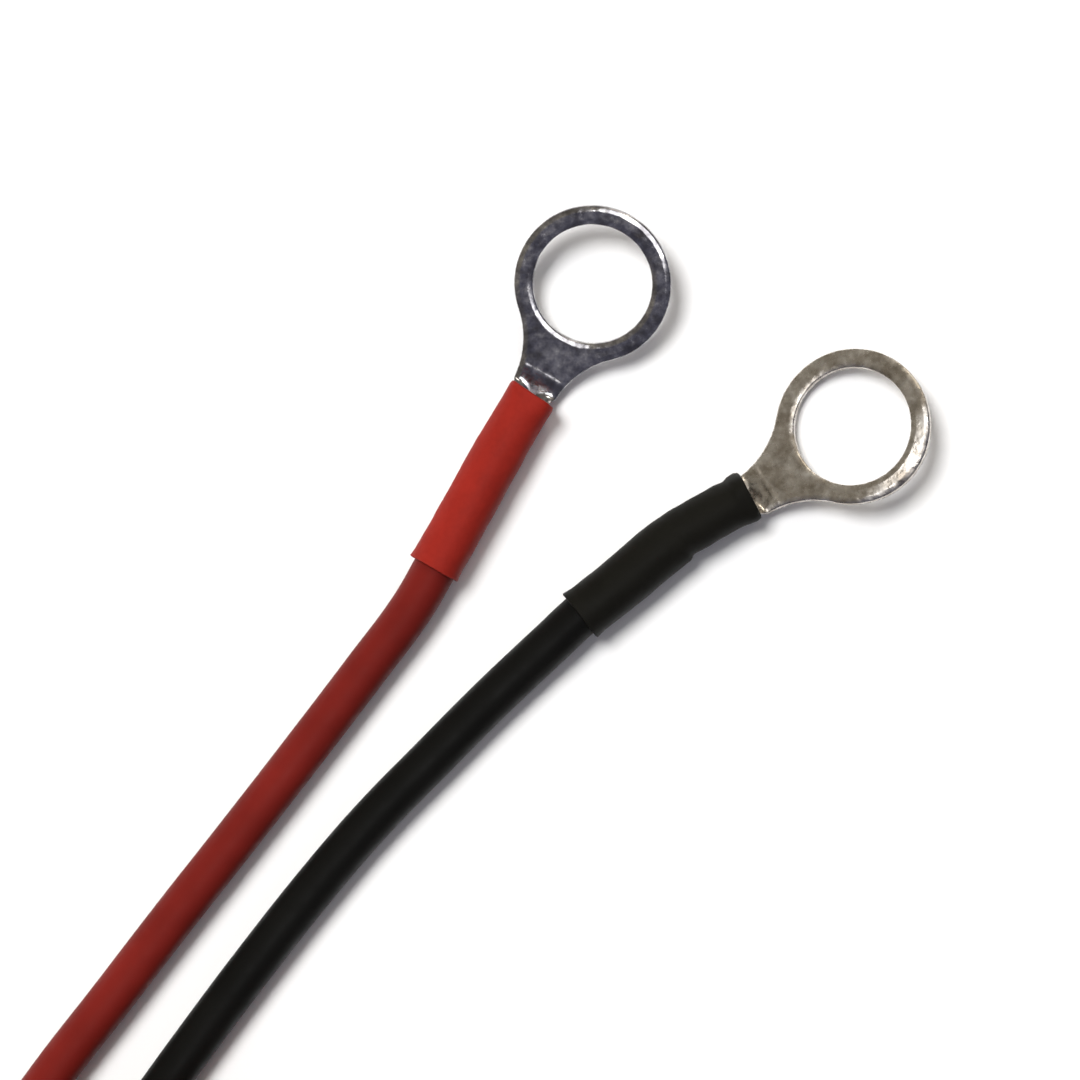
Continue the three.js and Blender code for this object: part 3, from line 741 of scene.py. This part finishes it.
def sleeve_finish(name, colour, roughness):
    """Shrunk tube: matt, a little blotchy where it drew down, with a faint orange-peel skin."""
    finish = Finish(name, colour, roughness, specular=0.09)
    blotches = finish.clouds(0.0045, detail=4.0, rough=0.55)
    even = finish.ramp(blotches, (0.3, shade(colour, 0.9)), (0.7, shade(colour, 1.12)))
    specks = finish.clouds(0.0004, detail=2.0)
    finish.colour(finish.mixed(0.25, even, finish.ramp(specks, (0.4, 0.8), (0.6, 1.0)), "MULTIPLY"))
    finish.roughness(finish.ramp(blotches, (0.3, roughness - 0.07), (0.7, roughness + 0.09)))
    finish.bump(finish.clouds(0.0013, detail=3.0), 0.00003, 0.8)
    finish.bump(finish.clouds(0.0002, detail=2.0), 0.000006, 0.6)
    return finish.material


for lead, plan in SLEEVES.items():
    sleeve = shrunk_sleeve(lead, plan)
    sleeve.data.materials.append(sleeve_finish(f"{lead}_shrink_tube", plan["colour"], 0.52))
    fit(sleeve, "leads", f"{lead}_sleeve", f"{lead}_shrink_sleeve")

# ---- Coil ties ----
# Two moulded nylon cable ties hold the coil. Each strap runs round both columns of cable and
# through its own square head, and its cut tail with the catching teeth stands out of the head.
# The angle round the coil at which each tie sits, and the rows of cable under its strap.
COIL_TIES = {"coil_tie_1": (215, 4), "coil_tie_2": (20, 3)}
STRAP = 0.6
STRAP_HALF = 1.5
STRAP_EASE = 0.12
TIE_SLACK = 0.25
TIE_CORNER = 1.5
HEAD_START = 0.1
HEAD_END = 4.0
HEAD_HALF_WIDTH = 2.4
HEAD_HALF_HEIGHT = 2.2
TAIL_END = 5.6
TAIL_HALF = 0.4
TEETH = 8
TOOTH_PITCH = 0.5
NYLON = (0.0125, 0.0125, 0.012)


def eased_prism(name, outline, low, high, ease, segments=3):
    """An outline in the XY plane given its thickness along Z, with its edges rounded."""
    count = len(outline)
    vertices = [(x, y, low) for x, y in outline] + [(x, y, high) for x, y in outline]
    faces = [tuple(range(count)), tuple(range(count, 2 * count))]
    for corner in range(count):
        onward = (corner + 1) % count
        faces.append((corner, onward, count + onward, count + corner))
    piece = piece_from(name, vertices, faces)
    work = bmesh.new()
    work.from_mesh(piece.data)
    bmesh.ops.recalc_face_normals(work, faces=work.faces)
    bmesh.ops.bevel(
        work, geom=work.edges[:], offset=ease, segments=segments, profile=0.5,
        affect="EDGES", clamp_overlap=True,
    )
    work.to_mesh(piece.data)
    work.free()
    return piece


def eased_block(name, low, high, ease=0.15):
    corners = [(low[0], low[1]), (high[0], low[1]), (high[0], high[1]), (low[0], high[1])]
    return eased_prism(name, corners, low[2], high[2], ease)


def cable_tie(name, rows, steps=8):
    """A tie in its own frame: +X out from the coil's centre, +Z up."""
    inner = (BLACK_COIL["radius"] - CABLE / 2) / MM - TIE_SLACK
    outer = (RED_COIL["radius"] + CABLE / 2) / MM + TIE_SLACK
    top = (COIL_FLOOR + CABLE + (rows - 1) * ROW_PITCH) / MM + TIE_SLACK
    near, far = inner + TIE_CORNER, outer - TIE_CORNER
    bottom, crown = STRAP + TIE_CORNER, top - TIE_CORNER
    section = [
        (-STRAP_HALF, STRAP_EASE), (STRAP_EASE - STRAP_HALF, 0), (STRAP_HALF - STRAP_EASE, 0),
        (STRAP_HALF, STRAP_EASE), (STRAP_HALF, STRAP - STRAP_EASE), (STRAP_HALF - STRAP_EASE, STRAP),
        (STRAP_EASE - STRAP_HALF, STRAP), (-STRAP_HALF, STRAP - STRAP_EASE),
    ]
    vertices = []
    for corner, (x, z) in enumerate([(far, crown), (near, crown), (near, bottom), (far, bottom)]):
        for step in range(steps + 1):
            angle = math.pi / 2 * (corner + step / steps)
            for across, depth in section:
                reach = TIE_CORNER + depth
                vertices.append((x + reach * math.cos(angle), across, z + reach * math.sin(angle)))
    strap = piece_from(name, vertices, grid_faces(4 * (steps + 1), len(section)))
    middle = top / 2
    head = eased_block(
        "head", (outer + HEAD_START, -HEAD_HALF_WIDTH, middle - HEAD_HALF_HEIGHT),
        (outer + HEAD_END, HEAD_HALF_WIDTH, middle + HEAD_HALF_HEIGHT), 0.4,
    )
    mouth = eased_block("mouth", (outer + 1.9, -1.85, middle - 0.7), (outer + 6, 1.85, middle + 1.0), 0.1)
    combined(head, mouth, "DIFFERENCE")
    pawl = eased_block("pawl", (outer + 1.6, -1.0, middle + 0.5), (outer + 3.4, 1.0, middle + 1.3), 0.12)
    combined(head, pawl, "UNION")
    root, tip = outer + 0.8, outer + TAIL_END
    outline = [(root, -TAIL_HALF), (tip - 0.15, -TAIL_HALF), (tip, -0.2), (tip, 0.25)]
    for tooth in range(TEETH):
        start = tip - 0.4 - tooth * TOOTH_PITCH
        outline += [(start, TAIL_HALF), (start - 0.12, 0.22)]
    outline.append((root, TAIL_HALF))
    tail = eased_prism("tail", outline, -STRAP_HALF, STRAP_HALF, 0.03, 1)
    tail.data.transform(Matrix.Rotation(math.pi / 2, 4, "X"))
    tail.data.transform(Matrix.Translation((0, 0, middle)))
    combined(head, tail, "UNION")
    return combined(faced_outward(strap), head, "UNION")


def moulded_finish(name, colour, roughness, grain=0.00016, relief=0.000005, specular=0.4):
    """Moulded plastic: even colour, a fine tool texture and slightly polished handling marks."""
    finish = Finish(name, colour, roughness, specular=specular)
    patches = finish.clouds(0.005, detail=4.0)
    finish.colour(finish.ramp(patches, (0.3, shade(colour, 0.88)), (0.7, shade(colour, 1.16))))
    worn = finish.clouds(0.0014, detail=5.0, rough=0.6)
    finish.roughness(finish.ramp(worn, (0.3, roughness - 0.08), (0.7, roughness + 0.08)))
    finish.bump(finish.clouds(0.003), 0.00002, 0.6)
    finish.bump(finish.clouds(grain, detail=2.0), relief)
    return finish.material


nylon = moulded_finish("tie_nylon", NYLON, 0.4)
for name, (angle, rows) in COIL_TIES.items():
    tie = cable_tie(f"{name}_made", rows)
    turn = Matrix.Rotation(math.radians(angle), 4, "Z")
    tie.data.transform(Matrix.Translation((*COIL_CENTRE, 0)) @ turn @ Matrix.Scale(MM, 4))
    tie.data.materials.clear()
    tie.data.materials.append(nylon)
    smoothed(tie.data)
    fit(tie, "leads", "tie_nylon", name)

# ---- Union nuts ----
# The back of each connector is a ribbed nut of moulded plastic. It screws onto the housing by a
# right-hand thread, and its cone squeezes the gland's fingers and the seal onto the cable.
# Where the back end of each connector's nut lies. Stations along a connector start from it.
CONNECTORS = {"socket": (-11.5, -114.8), "pin": (11.5, -88.5)}
AXIS_HEIGHT = 9.3
THREAD_PITCH = 2.0
NUT_RIBS = 14
RIB_HEIGHT = 0.55
RIB_HALF = 0.95
RIB_SLOPE = 0.35
NUT_RADIUS = 8.5
NUT_BORE = 7.35
NUT_THREAD = 0.2
NUT_PLASTIC = (0.0135, 0.0135, 0.014)
connector_pieces = {"socket": [], "pin": []}


def set_in_place(piece, kind, material, body, slot, node, sharp=35):
    """Moves a piece made about +X, in millimetres, to where its connector lies."""
    place = Matrix.Translation((*CONNECTORS[kind], AXIS_HEIGHT))
    piece.data.transform(Matrix.Scale(MM, 4) @ place)
    piece.data.materials.clear()
    piece.data.materials.append(material)
    smoothed(piece.data, sharp)
    fit(piece, body, slot, f"{kind}_{node}")
    connector_pieces[kind].append(piece)


def stations(start, end, step):
    count = round((end - start) / step)
    return [start + (end - start) * index / count for index in range(count + 1)]


def thread(station, angle):
    """Height of a right-hand thread, from 0 in its groove to 1 on its crest."""
    return 0.5 + 0.5 * math.cos(2 * math.pi * station / THREAD_PITCH - angle)


def nut_round(station, radius, angle):
    """Grip ribs on the outside and the thread inside."""
    if radius == NUT_BORE:
        run = smooth_step(station - 7.6) * smooth_step(16.6 - station)
        return radius - NUT_THREAD * run * thread(station, angle)
    if radius < NUT_RADIUS - 0.1:
        return radius
    turn = angle * NUT_RIBS / (2 * math.pi)
    off = abs(turn - round(turn)) * 2 * math.pi / NUT_RIBS * NUT_RADIUS
    along = smooth_step((station - 1.9) / 0.8) * smooth_step((16.1 - station) / 0.8)
    return radius + RIB_HEIGHT * along * smooth_step((RIB_HALF - off) / RIB_SLOPE)


nut_plastic = moulded_finish("nut_plastic", NUT_PLASTIC, 0.42)
nut_profile = [(0.0, 3.75), (0.0, 7.25), (0.12, 7.45), (1.25, 8.42)]
nut_profile += [(station, NUT_RADIUS) for station in (1.4, 1.9, 2.1, 2.3, 2.5, 2.7, 3.0, 9.0)]
nut_profile += [(station, NUT_RADIUS) for station in (15.0, 15.3, 15.5, 15.7, 15.9, 16.1, 16.8)]
nut_profile += [(17.0, NUT_RADIUS - 0.2), (17.0, NUT_BORE + 0.2)]
nut_profile += [(station, NUT_BORE) for station in stations(16.8, 7.2, 0.24)]
nut_profile += [(3.0, 4.6), (3.0, 3.75), (2.85, 3.6), (0.15, 3.6)]
for kind in CONNECTORS:
    nut = turned(f"{kind}_nut_made", nut_profile, NUT_RIBS * 16, nut_round)
    set_in_place(nut, kind, nut_plastic, f"{kind}_nut", "housing_plastic", "union_nut")

# ---- Gland cages and seals ----
# In each nut sits a plastic ring with eight fingers and, inside it, a ribbed rubber sleeve that
# closes onto the cable when the fingers are pressed in.
CAGE_PLASTIC = (0.022, 0.022, 0.021)
SEAL_RUBBER = (0.028, 0.027, 0.026)

cage_plastic = moulded_finish("gland_plastic", CAGE_PLASTIC, 0.45)
seal_rubber = moulded_finish("seal_rubber", SEAL_RUBBER, 0.66, 0.0003, 0.000012, 0.25)
cage_profile = [
    (4.2, 4.62), (4.2, 4.85), (4.32, 5.0), (7.5, 5.85), (7.75, 5.9), (12.05, 5.9), (12.2, 5.75),
    (12.2, 4.62), (12.08, 4.5), (4.32, 4.5),
]
seal_profile = [
    (4.6, 2.35), (4.6, 3.75), (4.75, 3.92), (5.2, 4.12), (5.5, 4.2), (7.1, 4.2), (7.35, 4.1),
    (7.65, 3.85), (7.9, 3.8), (8.7, 3.8), (8.95, 3.86), (9.25, 4.12), (9.5, 4.2), (11.5, 4.2),
    (11.8, 4.1), (12.35, 3.78), (12.5, 3.6), (12.5, 2.35), (12.35, 2.2), (4.75, 2.2),
]
for kind in CONNECTORS:
    cage = turned(f"{kind}_cage_made", cage_profile)
    for slot in range(4):
        cut = eased_block("slot", (3.0, -7.0, -0.5), (8.8, 7.0, 0.5), 0.2)
        cut.data.transform(Matrix.Rotation(math.radians(22.5 + 45 * slot), 4, "X"))
        combined(cage, cut, "DIFFERENCE")
    set_in_place(cage, kind, cage_plastic, f"{kind}_gland", "gland_plastic", "gland_cage")
    seal = turned(f"{kind}_seal_made", seal_profile)
    set_in_place(seal, kind, seal_rubber, f"{kind}_gland", "seal_rubber", "cable_seal", 60)

# ---- Housings ----
# Each is one moulding of hard black plastic: a threaded skirt for the nut, a six-sided collar for
# a spanner and the body that holds the contact. The pin type ends in an open shell with a latch
# window on either side, the socket type in a bare probe.
COLLAR_FLAT = 9.3
COLLAR_START = 17.4
COLLAR_END = 22.4
SKIRT_RADIUS = 6.95
SKIRT_THREAD = 0.4
POCKET = 6.2
POCKET_FLOOR = 13.0
BODY = 8.0
SHELL = 8.8
SHELL_MOUTH = 53.0
SHELL_CAVITY = 4.3
PIN_BORE = 2.75
WINDOW_START = 41.4
WINDOW_END = 45.2
SOCKET_FACE = 42.0
PROBE = 4.0
PROBE_END = 60.0
SOCKET_BORE = 3.15
PIN_ENTRY = 2.3
ARM_POCKET = 5.2
HOUSING_PLASTIC = (0.0120, 0.0120, 0.0125)


def housing_round(station, radius, angle):
    """The skirt's thread and the collar's flats."""
    if radius == SKIRT_RADIUS:
        run = smooth_step((station - 8.1) / 0.9) * smooth_step((17.0 - station) / 0.9)
        return radius - SKIRT_THREAD * run * (1 - thread(station, angle))
    if COLLAR_START <= station <= COLLAR_END and radius > 9:
        off = (angle - math.pi / 3) % (math.pi / 3) - math.pi / 6
        return min(radius, COLLAR_FLAT / math.cos(off))
    return radius


housing_plastic = moulded_finish("housing_plastic", HOUSING_PLASTIC, 0.36)
housing_back = [(8.15, POCKET), (8.0, POCKET + 0.12), (8.0, SKIRT_RADIUS - 0.2)]
housing_back += [(station, SKIRT_RADIUS) for station in stations(8.2, 17.4, 0.2)]
housing_back += [
    (COLLAR_START, 9.05), (17.65, 9.6), (18.6, 10.4), (21.2, 10.4), (22.15, 9.7), (COLLAR_END, 9.05),
    (COLLAR_END, BODY + 0.3), (22.5, BODY + 0.1), (22.8, BODY),
]
pin_profile = housing_back + [
    (26.7, BODY), (27.0, 8.08), (27.8, 8.72), (28.1, SHELL), (SHELL_MOUTH - 0.7, SHELL),
    (52.8, 8.6), (SHELL_MOUTH, 8.2), (SHELL_MOUTH, SHELL_CAVITY + 0.3), (52.7, SHELL_CAVITY),
    (31.2, SHELL_CAVITY), (31.0, 4.1), (31.0, PIN_BORE), (POCKET_FLOOR, PIN_BORE),
    (POCKET_FLOOR, POCKET),
]
pin_housing = turned("pin_housing_made", pin_profile, 144, housing_round)
latch_slot = eased_block("latch_slot", (35.0, -7.5, -3.0), (54.0, 7.5, 3.0), 0.3)
combined(pin_housing, latch_slot, "DIFFERENCE")
for low, high in ((-9.8, -5.0), (5.0, 9.8)):
    window = eased_block("window", (WINDOW_START, low, -3.1), (WINDOW_END, high, 3.1), 0.25)
    combined(pin_housing, window, "DIFFERENCE")
set_in_place(pin_housing, "pin", housing_plastic, "leads", "housing_plastic", "housing")

socket_profile = housing_back + [
    (SOCKET_FACE - 2, BODY), (40.6, 7.85), (41.7, 7.42), (SOCKET_FACE, 7.1), (SOCKET_FACE, PROBE + 0.1),
    (SOCKET_FACE + 0.1, PROBE), (58.8, PROBE), (59.6, 3.8), (PROBE_END, 3.4), (PROBE_END, 2.5),
    (59.8, PIN_ENTRY), (57.6, PIN_ENTRY), (57.6, SOCKET_BORE), (POCKET_FLOOR, SOCKET_BORE),
    (POCKET_FLOOR, POCKET),
]
socket_housing = turned("socket_housing_made", socket_profile, 144, housing_round)
for low, high in ((-10.0, -ARM_POCKET), (ARM_POCKET, 10.0)):
    pocket = eased_block("arm_pocket", (35.3, low, -3.1), (43.0, high, 3.1), 0.2)
    combined(socket_housing, pocket, "DIFFERENCE")
set_in_place(socket_housing, "socket", housing_plastic, "leads", "housing_plastic", "housing")

# ---- Latch arms ----
# The socket type has a springy finger in a pocket on either side. The barb near its tip drops into
# the other connector's window, and squeezing both fingers lets the pair be pulled apart.
ARM_OUTLINE = [
    (35.35, 6.2), (35.6, 5.9), (56.7, 5.9), (57.0, 6.15), (57.0, 6.45), (53.4, 8.1), (52.7, 8.45),
    (50.15, 8.5), (50.0, 8.35), (50.0, 7.2), (35.6, 7.2), (35.35, 6.95),
]
ARM_HALF = 2.6

for side, half_turn in (("left", 0), ("right", math.pi)):
    arm = eased_prism(f"latch_arm_{side}_made", ARM_OUTLINE, -ARM_HALF, ARM_HALF, 0.12, 2)
    arm.data.transform(Matrix.Rotation(half_turn, 4, "X"))
    set_in_place(
        arm, "socket", housing_plastic, f"latch_{side}", "housing_plastic", f"latch_arm_{side}", 50,
    )

# ---- Contacts ----
# A turned and tinned copper pin and socket, each crimped on its core. In the socket a slit sleeve
# of spring bronze grips the pin, and a rubber ring on the probe seals the mated pair.
CONTACT_TIN = (0.66, 0.64, 0.61)
BRONZE = (0.62, 0.36, 0.17)


def contact_round(station, radius, angle):
    """Two crimp dents on either side of the barrel."""
    if radius < 2.25 or station > 20:
        return radius
    dents = math.exp(-((station - 15.9) / 0.6) ** 2) + math.exp(-((station - 18.0) / 0.6) ** 2)
    return radius - 0.3 * dents * math.cos(angle) ** 4


contact_tin = tin_finish(
    "contact_tin", shade(CONTACT_TIN, 0.75), CONTACT_TIN, shade(CONTACT_TIN, 1.2), 0.24, 0.15,
)
bronze = Finish("spring_bronze", BRONZE, 0.28, metallic=1.0)
bronze_clouds = bronze.clouds(0.001, detail=4.0)
bronze.colour(bronze.ramp(bronze_clouds, (0.3, shade(BRONZE, 0.8)), (0.7, shade(BRONZE, 1.15))))
bronze.roughness(bronze.ramp(bronze_clouds, (0.3, 0.22), (0.7, 0.38)))

crimp_profile = [(19.9, 0.0), (19.9, 1.45), (14.3, 1.45), (14.2, 1.55), (14.2, 2.2)]
crimp_profile += [(station, 2.3) for station in stations(14.35, 20.4, 0.3)]
pin_contact = turned("pin_contact_made", crimp_profile + [
    (28.9, 2.3), (29.1, 2.25), (29.4, 2.0), (45.4, 2.0), (46.2, 1.85), (46.8, 1.5), (47.0, 1.1), (47.0, 0.0),
], 72, contact_round)
set_in_place(pin_contact, "pin", contact_tin, "leads", "tinned_copper", "contact")

socket_contact = turned("socket_contact_made", crimp_profile + [
    (20.45, 2.75), (20.6, 2.85), (57.05, 2.85), (57.2, 2.7), (57.2, 2.2), (57.1, 2.1), (56.2, 2.1),
    (56.2, 2.55), (49.6, 2.55), (49.6, 2.1), (36.0, 2.1), (36.0, 0.0),
], 72, contact_round)
set_in_place(socket_contact, "socket", contact_tin, "leads", "tinned_copper", "contact")

spring = turned("contact_spring_made", [
    (49.9, 2.17), (49.95, 2.4), (50.05, 2.42), (55.75, 2.42), (55.85, 2.4), (55.9, 2.17),
    (55.8, 2.15), (50.0, 2.15),
])
for slit in range(4):
    cut = eased_block("slit", (51.0, -3.0, -0.2), (54.8, 3.0, 0.2), 0.1)
    cut.data.transform(Matrix.Rotation(math.radians(45 * slit), 4, "X"))
    combined(spring, cut, "DIFFERENCE")
set_in_place(spring, "socket", bronze.material, "leads", "spring_bronze", "contact_spring")

ring_section = []
for step in range(20):
    around = 2 * math.pi * step / 20
    ring_section.append((42.9 + 0.49 * math.cos(around), 4.7 + 0.49 * math.sin(around)))
sealing_ring = turned("sealing_ring_made", ring_section)
set_in_place(sealing_ring, "socket", seal_rubber, "leads", "seal_rubber", "sealing_ring", 80)

for kind in CONNECTORS:
    strands = bundle(f"{kind}_strands_made", 13.6, 19.4, 1.18)
    set_in_place(strands, kind, bare_copper, "leads", "bare_copper", "strands")

# ---- The table and the light ----
# A white table under a soft key light from the upper left, the even light of a pale ceiling, a
# round softbox overhead and a warm one beyond the rings. The room round it is dim, bluish one way
# and warm the other.
TABLE_WHITE = (0.93, 0.93, 0.93)
KEY_STRENGTH = 2.85
CEILING_STRENGTH = 0.36
OVERHEAD_HEIGHT = 1.2
OVERHEAD_SIZE = 0.56
OVERHEAD_POWER = 2.7

bpy.ops.mesh.primitive_plane_add(size=4, location=(0, 0, -0.00005))
table = bpy.context.object
table.name = "table"
table_finish = Finish("table_white", TABLE_WHITE, 0.9, specular=0.1)
table_finish.bump(table_finish.clouds(0.002), 0.00001, 0.2)
table.data.materials.append(table_finish.material)


def add_light(name, kind, place, towards, **settings):
    data = bpy.data.lights.new(name, kind)
    for key, value in settings.items():
        setattr(data, key, value)
    light = bpy.data.objects.new(name, data)
    light.location = place
    light.rotation_euler = (Vector(towards) - Vector(place)).to_track_quat("-Z", "Y").to_euler()
    bpy.context.scene.collection.objects.link(light)
    return light


key = add_light(
    "key", "SUN", (-0.36, 0.34, 1), (0, 0, 0), energy=KEY_STRENGTH, angle=math.radians(22),
)
key.visible_glossy = False
ceiling = add_light(
    "ceiling", "SUN", (0, 0, 1), (0, 0, 0), energy=CEILING_STRENGTH, angle=math.radians(150),
)
ceiling.visible_glossy = False
overhead = add_light(
    "overhead", "AREA", (0.08, 0.02, OVERHEAD_HEIGHT), (0, -0.01, 0),
    energy=OVERHEAD_POWER, shape="DISK", size=OVERHEAD_SIZE,
)
overhead.visible_diffuse = False
add_light(
    "far_fill", "AREA", (0.3, 1.0, 1.0), (0, 0, 0),
    energy=3.0, shape="DISK", size=0.5, color=(1.0, 0.93, 0.8),
)

world = bpy.data.worlds.new("studio")
bpy.context.scene.world = world
world.use_nodes = True
air = world.node_tree
background = air.nodes["Background"]
direction = air.nodes.new("ShaderNodeTexCoord").outputs["Generated"]
towards_warm = air.nodes.new("ShaderNodeVectorMath")
towards_warm.operation = "DOT_PRODUCT"
towards_warm.inputs[1].default_value = (-0.5, 0.87, 0.0)
air.links.new(direction, towards_warm.inputs[0])
room = air.nodes.new("ShaderNodeValToRGB")
room_colours = [
    (0.0, (0.13, 0.13, 0.16)), (0.42, (0.13, 0.13, 0.165)), (0.6, (0.24, 0.22, 0.185)),
    (1.0, (0.34, 0.32, 0.28)),
]
while len(room.color_ramp.elements) < len(room_colours):
    room.color_ramp.elements.new(0.5)
for element, (position, colour) in zip(room.color_ramp.elements, room_colours):
    element.position = position
    element.color = (*colour, 1)
share = air.nodes.new("ShaderNodeMapRange")
share.inputs["From Min"].default_value = -1.0
share.inputs["From Max"].default_value = 1.0
air.links.new(towards_warm.outputs["Value"], share.inputs["Value"])
air.links.new(share.outputs["Result"], room.inputs["Fac"])
air.links.new(room.outputs["Color"], background.inputs["Color"])
background.inputs["Strength"].default_value = 1.0
bpy.context.scene.view_settings.view_transform = "Standard"
